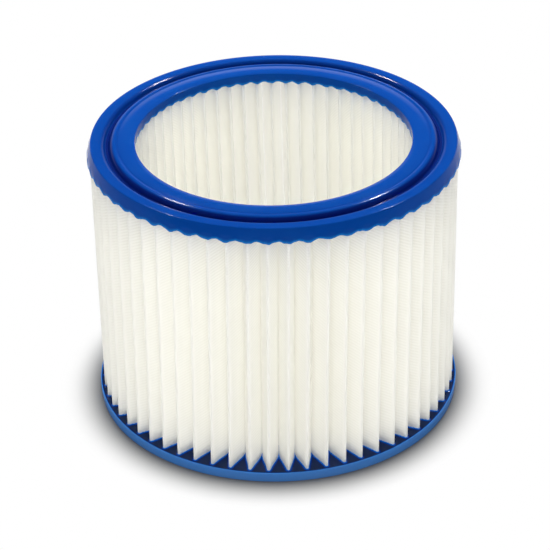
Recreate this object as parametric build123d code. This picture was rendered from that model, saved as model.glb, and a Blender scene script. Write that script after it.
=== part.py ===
from build123d import *
from math import acos, atan2, cos, degrees, pi, sin
import os

# Cylindrical cartridge filter: one pleated fleece ring with its ends potted in two cast end rings.
# Millimetres, +Z up, standing on its base ring, origin at the middle of the base.

# Pleat pack
PACK_DIAMETER = 181.4
PLEAT_DEPTH = 21.6
PLEAT_COUNT = 60
FLEECE_THICKNESS = 0.7
VALLEY_DEPTH = 13.0
FOLD_FLATS = 3

# Heights
FILTER_HEIGHT = 142.0
BASE_HEIGHT = 5.0
TOP_HEIGHT = 4.7
BASE_POT_DEPTH = 3.0
TOP_POT_DEPTH = 1.7

# Base ring
BASE_MARGIN = 1.8
BASE_CHAMFER = 0.5
BORE_MARGIN = 0.9

# Top ring, from its outer edge to its bore
SKIRT_MARGIN = 1.4
SKIRT_DROP = 1.4
SKIRT_EDGE = 0.5
SKIRT_FLARE = 2.0
RIM_CHAMFER = 0.6
RIM_WIDTH = 4.0
GROOVE_DEPTH = 2.4
SHOULDER_RADIUS = 2.8
GROOVE_FLOOR = 1.5
BEAD_RADIUS = 3.4
BEAD_RISE = 0.3
ROUND_FLATS = 4
NOTCH_WIDTH = 1.8
NOTCH_DEPTH = 0.3
LIP_WIDTH = 2.1
LIP_DROP = 0.5

# Radii and levels that follow from them
tip_radius = PACK_DIAMETER / 2
inner_fold_radius = tip_radius - PLEAT_DEPTH
valley_radius = tip_radius - VALLEY_DEPTH
bore_radius = inner_fold_radius - BORE_MARGIN
rim_level = FILTER_HEIGHT
underside = rim_level - TOP_HEIGHT
pack_bottom = BASE_HEIGHT - BASE_POT_DEPTH
pack_top = underside + TOP_POT_DEPTH


def polar(radius, angle):
    """Point at a radius and an angle in radians about the filter's axis."""
    return Vector(radius * cos(angle), radius * sin(angle))


def pleat_section():
    """Section of the folded sheet. Each pleat is a V that closes at the valley radius, and from there
    the two layers lie together as a web down to the inner fold."""
    half_pitch = pi / PLEAT_COUNT
    fold_centre = Vector(tip_radius - FLEECE_THICKNESS, 0)
    valley = polar(valley_radius, half_pitch)
    along_web = polar(1, half_pitch)
    across_web = polar(1, half_pitch + pi / 2)

    # The flank is the tangent from the valley to the round outside of the tip fold.
    to_valley = valley - fold_centre
    flank_turn = atan2(to_valley.Y, to_valley.X) - acos(FLEECE_THICKNESS / to_valley.length)
    tip_turns = [flank_turn * (2 * step / FOLD_FLATS - 1) for step in range(FOLD_FLATS + 1)]
    outside = [fold_centre + polar(FLEECE_THICKNESS, turn) for turn in tip_turns] + [valley]

    # Inside, the crease is sharp. The flank meets the side of the web one thickness off its middle.
    flank = polar(1, flank_turn + pi / 2)
    flank_run = (-FLEECE_THICKNESS - fold_centre.dot(across_web)) / flank.dot(across_web)
    bend = fold_centre + flank * flank_run
    web_root = bend.dot(along_web)
    near_side = [along_web * run - across_web * FLEECE_THICKNESS for run in (web_root, inner_fold_radius)]
    far_side = [along_web * run + across_web * FLEECE_THICKNESS for run in (inner_fold_radius, web_root)]
    inside = [fold_centre] + near_side + far_side

    def all_round(points):
        turns = [2 * half_pitch * pleat for pleat in range(PLEAT_COUNT)]
        ring = [point.rotate(Axis.Z, degrees(turn)) for turn in turns for point in points]
        return make_face(Polyline(*ring, close=True))

    return all_round(outside) - all_round(inside)


def in_flats(arc):
    """A round stretch of a profile as a short chain of flats, which keeps the ring light."""
    return Polyline(*[arc @ (step / ROUND_FLATS) for step in range(ROUND_FLATS + 1)])


def top_ring_profile():
    """Half section of the top ring, from the flared skirt over rim, groove, bead and land to the bore."""
    skirt_radius = tip_radius + SKIRT_MARGIN
    skirt_bottom = underside - SKIRT_DROP
    rim_outer = skirt_radius - SKIRT_FLARE
    rim_inner = rim_outer - RIM_CHAMFER - RIM_WIDTH
    floor_level = rim_level - GROOVE_DEPTH
    land_level = rim_level + BEAD_RISE

    # Rounds of the groove: each starts level at the top and runs down to the floor.
    shoulder_turn = acos(1 - GROOVE_DEPTH / SHOULDER_RADIUS)
    floor_outer = rim_inner - SHOULDER_RADIUS * sin(shoulder_turn)
    floor_inner = floor_outer - GROOVE_FLOOR
    bead_turn = acos(1 - (GROOVE_DEPTH + BEAD_RISE) / BEAD_RADIUS)
    crest = floor_inner - BEAD_RADIUS * sin(bead_turn)
    land_outer = crest - NOTCH_WIDTH

    rim = Polyline(
        (bore_radius, underside),
        (tip_radius, underside),
        (skirt_radius - SKIRT_EDGE, skirt_bottom),
        (skirt_radius, skirt_bottom),
        (rim_outer, rim_level - RIM_CHAMFER),
        (rim_outer - RIM_CHAMFER, rim_level),
        (rim_inner, rim_level),
    )
    shoulder = CenterArc((rim_inner, rim_level - SHOULDER_RADIUS), SHOULDER_RADIUS, 90, degrees(shoulder_turn))
    groove = Line((floor_outer, floor_level), (floor_inner, floor_level))
    bead = CenterArc((crest, land_level - BEAD_RADIUS), BEAD_RADIUS, 90, -degrees(bead_turn))
    land = Polyline(
        (crest, land_level),
        (crest - NOTCH_WIDTH / 2, land_level - NOTCH_DEPTH),
        (land_outer, land_level),
        (bore_radius + LIP_WIDTH, land_level),
        (bore_radius, land_level - LIP_DROP),
        (bore_radius, underside),
    )
    return Plane.XZ * make_face(rim + in_flats(shoulder) + groove + in_flats(bead) + land)


def bottom_ring_profile():
    """Half section of the base ring: a flat ring with its outer edges broken."""
    base_radius = tip_radius + BASE_MARGIN
    outline = Polyline(
        (bore_radius, 0),
        (base_radius - BASE_CHAMFER, 0),
        (base_radius, BASE_CHAMFER),
        (base_radius, BASE_HEIGHT - BASE_CHAMFER),
        (base_radius - BASE_CHAMFER, BASE_HEIGHT),
        (bore_radius, BASE_HEIGHT),
        close=True,
    )
    return Plane.XZ * make_face(outline)


# The rings are cast round the ends of the pleats, so each takes the form of the fleece in it.
pleated_media = Pos(0, 0, pack_bottom) * extrude(pleat_section(), pack_top - pack_bottom)
top_ring = revolve(top_ring_profile(), Axis.Z) - pleated_media
bottom_ring = revolve(bottom_ring_profile(), Axis.Z) - pleated_media

os.makedirs("parts", exist_ok=True)
export_step(pleated_media, "parts/pleated_media.step")
export_step(top_ring, "parts/top_ring.step")
export_step(bottom_ring, "parts/bottom_ring.step")
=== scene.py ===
import math
import random

import bmesh
import bpy
from mathutils import Matrix, Vector, noise
from mathutils.bvhtree import BVHTree
from mathutils.geometry import interpolate_bezier


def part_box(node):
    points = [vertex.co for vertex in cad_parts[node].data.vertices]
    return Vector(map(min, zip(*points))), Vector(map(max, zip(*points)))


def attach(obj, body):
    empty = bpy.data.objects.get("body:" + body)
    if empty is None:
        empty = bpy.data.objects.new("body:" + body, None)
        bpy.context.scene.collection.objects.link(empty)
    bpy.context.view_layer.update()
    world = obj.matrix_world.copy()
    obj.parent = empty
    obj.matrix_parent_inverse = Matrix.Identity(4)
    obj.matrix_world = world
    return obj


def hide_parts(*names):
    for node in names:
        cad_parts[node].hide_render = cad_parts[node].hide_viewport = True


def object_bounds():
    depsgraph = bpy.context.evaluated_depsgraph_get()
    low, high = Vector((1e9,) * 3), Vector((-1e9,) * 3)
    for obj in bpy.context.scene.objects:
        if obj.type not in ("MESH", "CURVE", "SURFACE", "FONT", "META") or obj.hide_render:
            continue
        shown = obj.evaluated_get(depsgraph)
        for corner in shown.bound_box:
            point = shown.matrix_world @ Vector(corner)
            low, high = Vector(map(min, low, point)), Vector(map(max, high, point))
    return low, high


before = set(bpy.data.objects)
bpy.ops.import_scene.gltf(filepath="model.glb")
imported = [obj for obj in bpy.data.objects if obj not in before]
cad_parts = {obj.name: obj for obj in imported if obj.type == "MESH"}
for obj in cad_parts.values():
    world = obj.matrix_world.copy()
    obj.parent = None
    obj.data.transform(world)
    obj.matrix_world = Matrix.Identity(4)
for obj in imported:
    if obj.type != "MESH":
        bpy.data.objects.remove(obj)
cad_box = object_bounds()

# The pleated fleece: one strip of warm white needled polyester, folded into sixty radial pleats and closed
# to a ring. The pleats gape as a V between their round tips, and towards the core the two layers of each
# lie together. Both ends are buried in the cast rings.
mm = 0.001
media_low, media_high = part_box("pleated_media")
pleat_count = 60
pleat_pitch = math.tau / pleat_count
spacing_error = 0.03
tip_radius = media_high.x
inner_radius = tip_radius - 21.6 * mm
web_start_radius = tip_radius - 14.8 * mm
fleece_thickness = 0.55 * mm
tip_fold_radius = 0.5 * mm
inner_fold_radius = 0.45 * mm
web_gap = 0.33 * mm
flank_turn = math.radians(77)
fleece_height = media_high.z - media_low.z
fleece_rows = 16
sway = 0.003
sway_across = 70
sway_along = 14
pack_twist = math.radians(-1.2)
tip_flats = 3
flank_points = 9
flank_pull = 0.5
web_pull = 0.35
inner_fold_turns = [math.radians(turn) for turn in (-50, -25, 0, 30, 60, 90)]


def outward(angle):
    """Level direction away from the filter's axis."""
    return Vector((math.cos(angle), math.sin(angle), 0))


def half_pleat(tip_angle, web_angle):
    """Middle line of the sheet, from the top of a tip fold down one flank to the end of the inner fold."""
    side = math.copysign(1, web_angle - tip_angle)
    fold_centre = outward(tip_angle) * (tip_radius - tip_fold_radius - fleece_thickness / 2)
    turns = [side * flank_turn * step / tip_flats for step in range(tip_flats + 1)]
    tip = [fold_centre + outward(tip_angle + turn) * tip_fold_radius for turn in turns]

    along_web = outward(web_angle)
    across_web = outward(web_angle - side * math.pi / 2)
    web_start = along_web * web_start_radius + across_web * web_gap
    down_flank = outward(tip_angle + side * (flank_turn + math.pi / 2))
    run = (web_start - tip[-1]).length
    flank = interpolate_bezier(
        tip[-1],
        tip[-1] + down_flank * run * flank_pull,
        web_start + along_web * run * web_pull,
        web_start,
        flank_points,
    )
    fold_middle = along_web * (inner_radius + inner_fold_radius + fleece_thickness / 2)
    inner = [
        fold_middle + (across_web * math.cos(turn) - along_web * math.sin(turn)) * inner_fold_radius
        for turn in inner_fold_turns
    ]
    return tip + flank[1:] + inner


draw = random.Random(11)
tip_angles = [
    pleat_pitch * (pleat + draw.uniform(-spacing_error, spacing_error)) for pleat in range(pleat_count)
]
tip_angles.append(tip_angles[0] + math.tau)
fold_line = []
for tip_angle, next_tip in zip(tip_angles, tip_angles[1:]):
    web_angle = (tip_angle + next_tip) / 2 + pleat_pitch * draw.uniform(-spacing_error, spacing_error)
    away = half_pleat(tip_angle, web_angle)
    back = half_pleat(next_tip, web_angle)
    fold_line += away + back[-2:0:-1]

pack = bmesh.new()
knots = [pack.verts.new((point.x, point.y, media_low.z)) for point in fold_line]
row = [pack.edges.new(pair) for pair in zip(knots, knots[1:] + knots[:1])]
for step in range(fleece_rows):
    grown = bmesh.ops.extrude_edge_only(pack, edges=row)["geom"]
    row = [item for item in grown if isinstance(item, bmesh.types.BMEdge)]
    lifted = [item for item in grown if isinstance(item, bmesh.types.BMVert)]
    bmesh.ops.translate(pack, verts=lifted, vec=(0, 0, fleece_height / fleece_rows))
for vert in pack.verts:
    share = (vert.co.z - media_low.z) / fleece_height
    drift = noise.noise((vert.co.x * sway_across, vert.co.y * sway_across, vert.co.z * sway_along))
    turn = sway * drift * math.sin(math.pi * share) + pack_twist * (1 - share)
    vert.co.rotate(Matrix.Rotation(turn, 3, "Z"))
bmesh.ops.recalc_face_normals(pack, faces=pack.faces[:])
fleece_shape = BVHTree.FromBMesh(pack)


def finished(shape, name):
    """A smooth-shaded piece at the origin, made from a bmesh."""
    data = bpy.data.meshes.new(name)
    shape.to_mesh(data)
    shape.free()
    data.shade_smooth()
    piece = bpy.data.objects.new(name, data)
    bpy.context.collection.objects.link(piece)
    return piece


fleece = finished(pack, "pleated_fleece")
thickness = fleece.modifiers.new("Fleece thickness", "SOLIDIFY")
thickness.thickness = fleece_thickness
thickness.offset = 0


class Shade:
    """A socket of a material. Arithmetic on it adds Math nodes, and node() adds any other node."""

    def __init__(self, tree, socket=None):
        self.tree = tree
        self.socket = socket

    def node(self, kind, settings=None, sockets=None, output=0):
        """Adds a node: its settings first, a ramp's stops among them, then its sockets' values or links."""
        made = self.tree.nodes.new(kind)
        for name, value in (settings or {}).items():
            if name == "stops":
                ramp = made.color_ramp.elements
                while len(ramp) < len(value):
                    ramp.new(0.5)
                for element, (place, colour) in zip(ramp, value):
                    element.position = place
                    element.color = (*colour, 1)
            else:
                setattr(made, name, value)
        for name, value in (sockets or {}).items():
            if isinstance(value, Shade):
                self.tree.links.new(value.socket, made.inputs[name])
            else:
                made.inputs[name].default_value = value
        return Shade(self.tree, made.outputs[output] if made.outputs else None)

    def sum_up(self, operation, first, second):
        """A Math node on two numbers or sockets."""
        return self.node("ShaderNodeMath", {"operation": operation}, {0: first, 1: second})

    def __add__(self, other):
        return self.sum_up("ADD", self, other)

    def __radd__(self, other):
        return self.sum_up("ADD", other, self)

    def __sub__(self, other):
        return self.sum_up("SUBTRACT", self, other)

    def __rsub__(self, other):
        return self.sum_up("SUBTRACT", other, self)

    def __mul__(self, other):
        return self.sum_up("MULTIPLY", self, other)

    def __rmul__(self, other):
        return self.sum_up("MULTIPLY", other, self)


def new_material(name):
    """An empty material, and a Shade to build its nodes with."""
    material = bpy.data.materials.new(name)
    material.use_nodes = True
    material.node_tree.nodes.clear()
    return material, Shade(material.node_tree)


# Fine ribs run across the folds, and short fibres give the face a soft grain. The rib hollows are painted
# darker, a painted shade that shows most on the outer side, under the top ring, and the tip folds are painted
# whiter, a painted highlight. Most of the light passes through the sheet.
rib_pitch = 1.63 * mm
fleece_crest = (0.994, 0.992, 0.974, 1)
fleece_hollow_and_shade = (0.82, 0.815, 0.79, 1)
fleece_glow = (0.989, 0.986, 0.966, 1)
fleece_material, paint = new_material("Needled fleece")
place = paint.node("ShaderNodeTexCoord", output="Object")
height = paint.node("ShaderNodeSeparateXYZ", sockets={0: place}, output="Z")
wander = paint.node("ShaderNodeTexNoise", sockets={"Vector": place, "Scale": 45.0, "Detail": 2.0})
fibres = paint.node(
    "ShaderNodeTexNoise", sockets={"Vector": place, "Scale": 1500.0, "Detail": 4.0, "Roughness": 0.7}
)
cloud = paint.node("ShaderNodeTexNoise", sockets={"Vector": place, "Scale": 220.0, "Detail": 3.0})
phase = height * (math.tau / rib_pitch) + wander * 5.0
ribs = paint.node("ShaderNodeMath", {"operation": "SINE"}, {0: phase})
near_ring = paint.node(
    "ShaderNodeMapRange",
    {"interpolation_type": "SMOOTHSTEP"},
    {"Value": height, "From Min": media_high.z - 45 * mm, "From Max": media_high.z - 4 * mm},
)
level_place = paint.node("ShaderNodeVectorMath", {"operation": "MULTIPLY"}, {0: place, 1: (1, 1, 0)})
off_axis = paint.node("ShaderNodeVectorMath", {"operation": "LENGTH"}, {0: level_place}, output="Value")
outer_side = paint.node(
    "ShaderNodeMapRange",
    {"interpolation_type": "SMOOTHSTEP"},
    {"Value": off_axis, "From Min": inner_radius + 1 * mm, "From Max": web_start_radius + 3 * mm},
)
# Painted shade: the rib hollows are painted darker, more so on the outer side and most under the top ring.
rib_share = 0.12 + outer_side * (0.2 + near_ring * 0.6)
# Painted highlight: the tip folds are painted whiter than the flanks.
tip_highlight = paint.node(
    "ShaderNodeMapRange",
    {"interpolation_type": "SMOOTHSTEP"},
    {"Value": off_axis, "From Min": tip_radius - 2.2 * mm, "From Max": tip_radius - 0.7 * mm},
)
nap_and_painted_light = ribs * rib_share + fibres * 0.7 + cloud * 0.6 + tip_highlight * 0.6
colour = paint.node(
    "ShaderNodeMix",
    {"data_type": "RGBA", "clamp_factor": True},
    {0: nap_and_painted_light, 6: fleece_hollow_and_shade, 7: fleece_crest},
    output=2,
)
relief = paint.node(
    "ShaderNodeBump",
    sockets={
        "Strength": 0.8,
        "Distance": 0.16 * mm,
        "Height": ribs * rib_share + fibres * 0.8,
    },
)
cloth = paint.node(
    "ShaderNodeBsdfPrincipled",
    sockets={
        "Base Color": colour,
        "Roughness": 0.95,
        "Specular IOR Level": 0.1,
        "Normal": relief,
    },
)
glow_through = paint.node("ShaderNodeBsdfTranslucent", sockets={"Color": fleece_glow})
fleece_surface = paint.node("ShaderNodeMixShader", sockets={0: 0.66, 1: cloth, 2: glow_through})
paint.node("ShaderNodeOutputMaterial", sockets={"Surface": fleece_surface})
fleece.data.materials.append(fleece_material)

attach(fleece, "root")
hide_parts("pleated_media")

# The base ring: a flat ring of blue polyurethane, cast round the lower ends of the pleats. It crept up the
# fleece as it set, so a thin bright line follows every flank and tip.
base_low, base_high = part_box("bottom_ring")
base_radius = base_high.x
base_level = base_high.z
bore_radius = inner_radius - 0.9 * mm
ring_steps = pleat_count * 20
climb = 0.6 * mm
climb_reach = 0.25 * mm
foot_line = 0.6 * mm
casting_wave = 0.1 * mm
wave_grain = 260
small_round_steps = 4
large_round_steps = 7
top_cuts = 56


def half_section(corners):
    """Outline of a cast ring's half section in the XZ plane. A corner is its radius, height and round."""
    section = bmesh.new()
    points = [section.verts.new((radius, 0, level)) for radius, level, rounding in corners]
    section.faces.new(points)
    for point, (radius, level, rounding) in zip(points, corners):
        if rounding:
            bmesh.ops.bevel(
                section,
                geom=[point],
                offset=rounding,
                offset_type="OFFSET",
                segments=large_round_steps if rounding > 1 * mm else small_round_steps,
                profile=0.5,
                affect="VERTICES",
                material=-1,
            )
    bmesh.ops.delete(section, geom=section.faces[:], context="FACES_ONLY")
    return section


def cast_round(section):
    """Turns a half section a quarter way about the filter's axis, and mirrors that into a closed ring."""
    bmesh.ops.spin(
        section,
        geom=section.verts[:] + section.edges[:],
        cent=(0, 0, 0),
        axis=(0, 0, 1),
        angle=math.tau / 4,
        steps=ring_steps // 4,
    )
    for axis in "XY":
        made = section.verts[:] + section.edges[:] + section.faces[:]
        bmesh.ops.mirror(section, geom=made, merge_dist=0.002 * mm, axis=axis)
    bmesh.ops.recalc_face_normals(section, faces=section.faces[:])


def gap_to_fleece(point):
    """Distance from a point of a ring to the face of the fleece, at its level or where it leaves the ring."""
    level = min(max(point.z, base_level), media_high.z - 2 * mm)
    nearest = fleece_shape.find_nearest((point.x, point.y, level))
    return max(0, nearest[3] - fleece_thickness / 2)


def smooth_step(low, high, value):
    """0 below low, 1 above high, and a smooth rise between."""
    share = min(max((value - low) / (high - low), 0), 1)
    return share * share * (3 - 2 * share)


base = half_section(
    [
        (bore_radius, base_low.z, 0.4 * mm),
        (base_radius, base_low.z, 0.3 * mm),
        (base_radius, base_level, 0.35 * mm),
        (bore_radius, base_level, 0.4 * mm),
    ]
)
top_line = [edge for edge in base.edges if min(vert.co.z for vert in edge.verts) > base_level - 0.01 * mm]
bmesh.ops.subdivide_edges(base, edges=top_line, cuts=top_cuts)
cast_round(base)

# How thin the resin is at each point, for its colour, with painted light in the same number: painted shade in
# the pockets between the pleats, a lighter line where thin resin climbs the fleece, a painted highlight at
# the outer edge, and a painted reflection of the floor on the outer rim and the underside.
pocket_shade = -2
line_lift = 2.9
edge_highlight = 3.6
rim_floor_reflection = 1.75
thin = base.verts.layers.float.new("thin")
for vert in base.verts:
    radius = vert.co.xy.length
    share = smooth_step(base_level - 0.4 * mm, base_level - 0.05 * mm, vert.co.z)
    # Painted reflection: the outer rim and the underside are painted a lighter, greyer blue, as the white
    # floor would show in them.
    if share == 0:
        vert[thin] = rim_floor_reflection
        continue
    gap = gap_to_fleece(vert.co)
    collar = math.exp(-gap / climb_reach)
    wave = noise.noise((vert.co.x * wave_grain, vert.co.y * wave_grain, 3)) * casting_wave
    vert.co.z += share * (climb * collar + wave)
    # Painted highlight: a light line is painted along the outer edge of the top face.
    edge = smooth_step(base_radius - 0.9 * mm, base_radius - 0.3 * mm, radius)
    line = math.exp(-((gap / foot_line) ** 2))
    # Painted shade in the pockets, a lighter line of thin resin along the fleece, and the painted edge
    # highlight.
    vert[thin] = pocket_shade + max(line_lift * line, edge_highlight * edge)
base_ring = finished(base, "cast_base_ring")

# The resin is blue, lighter where it is thin over the fleece, and painted with light and shade: painted shade
# in the groove, on the side faces and between the pleats, and a painted highlight and painted reflection on
# some edges. Its face is smooth with a faint orange peel. The attribute is -2 for the painted shade in the
# pockets between the pleats, -1 for the painted shade in the groove and on the side faces, 1 where the resin
# is thin, and 2 for the painted highlight and painted reflection on the edges, a greyer blue.
resin_pocket_shade = (0.012, 0.024, 0.075)
resin_shaded = (0.003, 0.02, 0.2)
resin_blue = (0.003, 0.08, 0.46)
resin_thin = (0.015, 0.25, 0.78)
resin_painted_sheen = (0.085, 0.19, 0.47)
resin_material, paint = new_material("Blue cast resin")
place = paint.node("ShaderNodeTexCoord", output="Object")
thin_and_painted_light_factor = paint.node("ShaderNodeAttribute", {"attribute_name": "thin"}, output="Fac")
flow = paint.node("ShaderNodeTexNoise", sockets={"Vector": place, "Scale": 60.0, "Detail": 3.0})
peel = paint.node("ShaderNodeTexNoise", sockets={"Vector": place, "Scale": 420.0, "Detail": 2.0})
handling = paint.node("ShaderNodeTexNoise", sockets={"Vector": place, "Scale": 900.0, "Detail": 3.0})
colour = paint.node(
    "ShaderNodeValToRGB",
    {
        "stops": [
            (0, resin_pocket_shade), (0.25, resin_shaded), (0.5, resin_blue), (0.75, resin_thin), (1, resin_painted_sheen)
        ]
    },
    {0: thin_and_painted_light_factor * 0.25 + 0.5 + (flow - 0.5) * 0.05},
)
relief = paint.node(
    "ShaderNodeBump", sockets={"Strength": 0.12, "Distance": 0.06 * mm, "Height": peel + handling * 0.08}
)
resin = paint.node(
    "ShaderNodeBsdfPrincipled",
    sockets={
        "Base Color": colour,
        "Roughness": 0.06 + flow * 0.06 + handling * 0.03,
        "Specular IOR Level": 0.045,
        "Normal": relief,
    },
)
paint.node("ShaderNodeOutputMaterial", sockets={"Surface": resin})
base_ring.data.materials.append(resin_material)

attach(base_ring, "root")
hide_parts("bottom_ring")

# The top ring: the same resin, cast in a mould that gives it a flat rim, a deep seal groove, a round seal
# bead with a fine double line at its crest, and a flat land round the bore. Resin hangs in a small drip from
# its lower edges at every fold of the fleece.
top_low, top_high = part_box("top_ring")
skirt_radius = top_high.x
skirt_level = top_low.z
land_level = top_high.z
rim_level = land_level - 0.3 * mm
groove_level = rim_level - 2.4 * mm
underside = rim_level - 4.7 * mm
notch_level = land_level - 0.25 * mm
lip_level = land_level - 0.5 * mm
rim_outer = skirt_radius - 2.1 * mm
rim_inner = skirt_radius - 8.2 * mm
groove_outer = skirt_radius - 9.4 * mm
shoulder_radius = skirt_radius - 9.6 * mm
groove_inner = skirt_radius - 10.9 * mm
bead_outer = skirt_radius - 12.0 * mm
crest_radius = skirt_radius - 14.3 * mm
notch_outer = skirt_radius - 14.8 * mm
notch_inner = skirt_radius - 15.6 * mm
land_outer = skirt_radius - 16.1 * mm
land_inner = skirt_radius - 21.6 * mm
skirt_cuts = 13
bore_cuts = 9
drip = 1.6 * mm
bore_drip = 1.4 * mm
drip_start = 2.6 * mm
drip_spread = 0.5
drip_grain = 130
ragged_edge = 0.35 * mm
ragged_grain = 600
arch_power = 1.6
shoulder_shade = 0.5
side_shade = 0.35
thin_edge = 1.1


def arch(gap, near, far):
    """1 at a fold of the fleece and 0 midway between two, so that a hanging edge runs in arches."""
    return min(max((far - gap) / (far - near), 0), 1) ** arch_power


top = half_section(
    [
        (bore_radius, underside, 0.25 * mm),
        (bore_radius + 1.2 * mm, underside, 0),
        (tip_radius, underside, 0),
        (skirt_radius - 0.7 * mm, skirt_level + 0.15 * mm, 0),
        (skirt_radius, skirt_level, 0.3 * mm),
        (rim_outer, rim_level, 0.4 * mm),
        (rim_inner, rim_level, 1.6 * mm),
        (groove_outer, groove_level, 0.5 * mm),
        (groove_inner, groove_level, 0.5 * mm),
        (bead_outer, land_level, 2.2 * mm),
        (crest_radius, land_level + 0.05 * mm, 0),
        (notch_outer, notch_level, 0),
        (notch_inner, notch_level, 0),
        (land_outer, land_level + 0.02 * mm, 0),
        (land_inner, land_level, 0.6 * mm),
        (bore_radius, lip_level, 0.35 * mm),
    ]
)
skirt_line = [
    edge
    for edge in top.edges
    if min(vert.co.x for vert in edge.verts) > skirt_radius - 2.0 * mm and edge.calc_length() > 2 * mm
]
bore_line = [
    edge
    for edge in top.edges
    if max(vert.co.x for vert in edge.verts) < bore_radius + 0.05 * mm and edge.calc_length() > 2 * mm
]
bmesh.ops.subdivide_edges(top, edges=skirt_line, cuts=skirt_cuts)
bmesh.ops.subdivide_edges(top, edges=bore_line, cuts=bore_cuts)
cast_round(top)
thin = top.verts.layers.float.new("thin")
for vert in top.verts:
    radius = vert.co.xy.length
    on_skirt = radius > tip_radius - 1.5 * mm
    on_bore = radius < bore_radius + 1.5 * mm
    if not (on_skirt or on_bore):
        # Painted shade: faces below the rim, the seal groove and the bead's outer slope among them, are
        # painted darker, half as much on the groove's outer shoulder.
        sunk = smooth_step(-0.2 * mm, 0.4 * mm, rim_level - vert.co.z)
        vert[thin] = -shoulder_shade * sunk if radius > shoulder_radius else -sunk
        continue
    edge_level = skirt_level if on_skirt else underside
    above_edge = vert.co.z - edge_level
    share = 1 - smooth_step(0.2 * mm, drip_start, above_edge)
    gap = gap_to_fleece(vert.co)
    size = 1 + drip_spread * noise.noise((vert.co.x * drip_grain, vert.co.y * drip_grain, 5))
    ragged = noise.noise((vert.co.x * ragged_grain, vert.co.y * ragged_grain, 9)) * ragged_edge
    if on_skirt:
        hang = arch(gap, 1.1 * mm, 4.5 * mm)
        vert.co.z -= share * (drip * hang * size + ragged)
    else:
        hang = arch(gap, 0.3 * mm, 2.9 * mm)
        vert.co.z -= share * (bore_drip * hang * size + ragged)
    # Painted shade: the side faces of the skirt and the bore are painted darker, with a lighter line of thin
    # resin along their lower edge.
    lower_line = 1 - smooth_step(0.4 * mm, 1.3 * mm, above_edge)
    side_face = smooth_step(0.3 * mm, 1.2 * mm, rim_level - vert.co.z)
    vert[thin] = max(-side_shade * side_face, thin_edge * lower_line)
top_ring = finished(top, "cast_top_ring")
top_ring.data.materials.append(resin_material)

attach(top_ring, "root")
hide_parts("top_ring")

# The stage: a paper floor, painted grey close round the filter as a painted shadow that adds to the lamps'
# own shadow, and white further out, in a studio that is white at the horizon and dim overhead.
floor_radius = 4.0
painted_shadow_ends = 0.09
white_starts = 0.114
paper_painted_shadow = (0.26, 0.26, 0.26, 1)
paper_white = (0.9, 0.9, 0.9, 1)


def seen_rays(paint):
    """1 for rays of the camera and those that mirrors and clear pieces send on, 0 for light on the object."""
    outputs = paint.node("ShaderNodeLightPath").socket.node.outputs
    camera_ray = Shade(paint.tree, outputs["Is Camera Ray"])
    glossy_ray = Shade(paint.tree, outputs["Is Glossy Ray"])
    clear_ray = Shade(paint.tree, outputs["Is Transmission Ray"])
    return paint.sum_up("MAXIMUM", paint.sum_up("MAXIMUM", camera_ray, glossy_ray), clear_ray)


floor_shape = bmesh.new()
bmesh.ops.create_circle(floor_shape, cap_ends=True, segments=128, radius=floor_radius)
bmesh.ops.translate(floor_shape, verts=floor_shape.verts[:], vec=(0, 0, cad_box[0][2] - 0.05 * mm))
floor = finished(floor_shape, "floor")
floor_material, paint = new_material("Pale floor")
place = paint.node("ShaderNodeTexCoord", output="Object")
distance = paint.node("ShaderNodeVectorMath", {"operation": "LENGTH"}, {0: place}, output="Value")
far = paint.node(
    "ShaderNodeMapRange",
    {"interpolation_type": "SMOOTHSTEP"},
    {"Value": distance, "From Min": painted_shadow_ends, "From Max": white_starts},
)
seen = seen_rays(paint)
# Painted shadow: the paper is grey close round the filter and turns white further out.
paper_colour = paint.node(
    "ShaderNodeMix",
    {"data_type": "RGBA"},
    {0: far, 6: paper_painted_shadow, 7: paper_white},
    output=2,
)
paper = paint.node("ShaderNodeBsdfDiffuse", sockets={"Color": paper_colour})
white = paint.node("ShaderNodeEmission", sockets={"Color": (1, 1, 1, 1), "Strength": 1.0})
sheet_of_light = paint.node("ShaderNodeMixShader", sockets={0: seen * far, 1: paper, 2: white})
paint.node("ShaderNodeOutputMaterial", sockets={"Surface": sheet_of_light})
floor.data.materials.append(floor_material)

studio_fill = 0.14
studio_white = (1, 1, 1)
studio_dim = (0.03, 0.03, 0.03)
backdrop_lean = 0.25
world = bpy.data.worlds.new("Studio")
world.use_nodes = True
world.node_tree.nodes.clear()
paint = Shade(world.node_tree)
direction = paint.node("ShaderNodeTexCoord", output="Generated")
rise = paint.node("ShaderNodeSeparateXYZ", sockets={0: direction}, output="Z")
depth = paint.node("ShaderNodeSeparateXYZ", sockets={0: direction}, output="Y")
backdrop = paint.node(
    "ShaderNodeValToRGB",
    {"stops": [(0, studio_white), (0.16, studio_dim)]},
    {0: rise - depth * backdrop_lean},
)
seen = seen_rays(paint)
sky = paint.node(
    "ShaderNodeMix",
    {"data_type": "RGBA"},
    {0: seen, 6: (studio_fill, studio_fill, studio_fill, 1), 7: backdrop},
    output=2,
)
glow = paint.node("ShaderNodeBackground", sockets={"Color": sky, "Strength": 1.0})
paint.node("ShaderNodeOutputWorld", sockets={"Surface": glow})
bpy.context.scene.world = world


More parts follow.
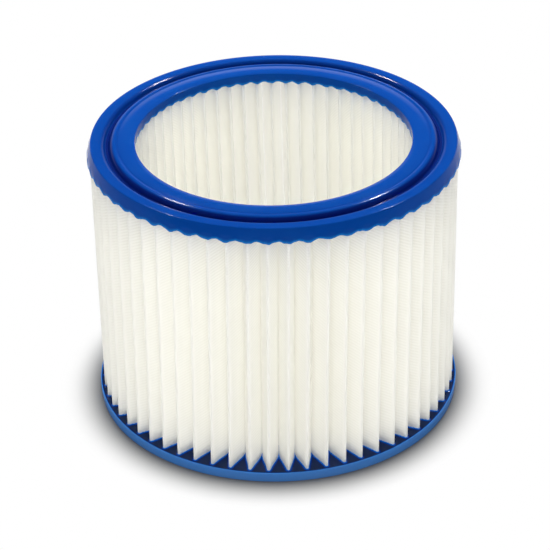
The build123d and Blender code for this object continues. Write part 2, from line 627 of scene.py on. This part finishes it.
# The lamps: the rings and the floor have a wide lamp behind, low lamps round the front and two small strips
# that show only as streaks on the resin. The fleece has a lamp in front, and four weak fills that cast no
# shadow, as white reflectors close round it would.
def soft_box(name, place, size, power, mirrored=False, lit_alone=(), shadows=True):
    """A square area lamp that faces the middle of the filter. A mirrored one shows in reflections alone, and
    lit_alone flags a lamp off all but the pieces named."""
    lamp = bpy.data.lights.new(name, "AREA")
    lamp.shape = "SQUARE"
    lamp.size = size
    lamp.energy = power
    lamp.use_shadow = shadows
    stand = bpy.data.objects.new(name, lamp)
    stand.location = place
    facing = Vector((0, 0, media_high.z / 2)) - stand.location
    stand.rotation_euler = facing.to_track_quat("-Z", "Y").to_euler()
    stand.visible_glossy = mirrored
    stand.visible_diffuse = not mirrored
    stand.visible_transmission = not mirrored
    bpy.context.collection.objects.link(stand)
    if lit_alone:
        flags = bpy.data.collections.new(name)
        for piece in lit_alone:
            flags.objects.link(piece)
        stand.light_linking.receiver_collection = flags


soft_box("main lamp", (0.0, 0.85, 1.05), 1.3, 23.5, lit_alone=(base_ring, top_ring, floor))
soft_box("low front lamp", (0.0, -1.35, 0.3), 0.9, 4.3)
soft_box("low left lamp", (-1.25, -0.35, 0.35), 0.9, 2.5, lit_alone=(base_ring, top_ring))
soft_box("low right lamp", (1.25, -0.35, 0.35), 0.9, 2.5, lit_alone=(base_ring, top_ring))
soft_box("left strip", (-0.38, 0.5, 1.02), 0.11, 14.0, mirrored=True)
soft_box("right strip", (0.38, 0.5, 1.02), 0.11, 14.0, mirrored=True)
soft_box("front lamp", (0.0, -0.9, 1.15), 1.0, 8.2, lit_alone=(fleece, base_ring))
fill_distance = 1.15
fill_height = 0.8
fills = (("front", 270, 1.3), ("right", 0, 1.05), ("back", 90, 2.6), ("left", 180, 1.85))
for side, azimuth, power in fills:
    stand = outward(math.radians(azimuth)) * fill_distance + Vector((0, 0, fill_height))
    soft_box(side + " fill", stand, 1.0, power, lit_alone=(fleece,), shadows=False)

# The camera: a long lens, slightly above, with the picture's small tilt to one side.
picture_width = 550
focal_pixels = 2250
camera_distance = 1.1458
camera_pitch = math.radians(31.59)
camera_roll = math.radians(-1.15)
camera_turn = math.radians(2.4)
camera_aim = Vector((-0.69 * mm, 0, 61.77 * mm))
camera_data = bpy.data.cameras.new("camera")
camera_data.sensor_width = 36
camera_data.lens = camera_data.sensor_width * focal_pixels / picture_width
camera_data.clip_start = 0.05
camera = bpy.data.objects.new("camera", camera_data)
bpy.context.collection.objects.link(camera)
look = (
    Matrix.Rotation(camera_turn, 4, "Z")
    @ Matrix.Translation(camera_aim)
    @ Matrix.Rotation(math.pi / 2 - camera_pitch, 4, "X")
    @ Matrix.Rotation(camera_roll, 4, "Z")
    @ Matrix.Translation((0, 0, camera_distance))
)
camera.matrix_world = look
bpy.context.scene.camera = camera
bpy.context.scene.view_settings.view_transform = "Standard"

# White fleece passes light from flank to flank many times before it is lost.
bpy.context.scene.cycles.max_bounces = 32
bpy.context.scene.cycles.diffuse_bounces = 32
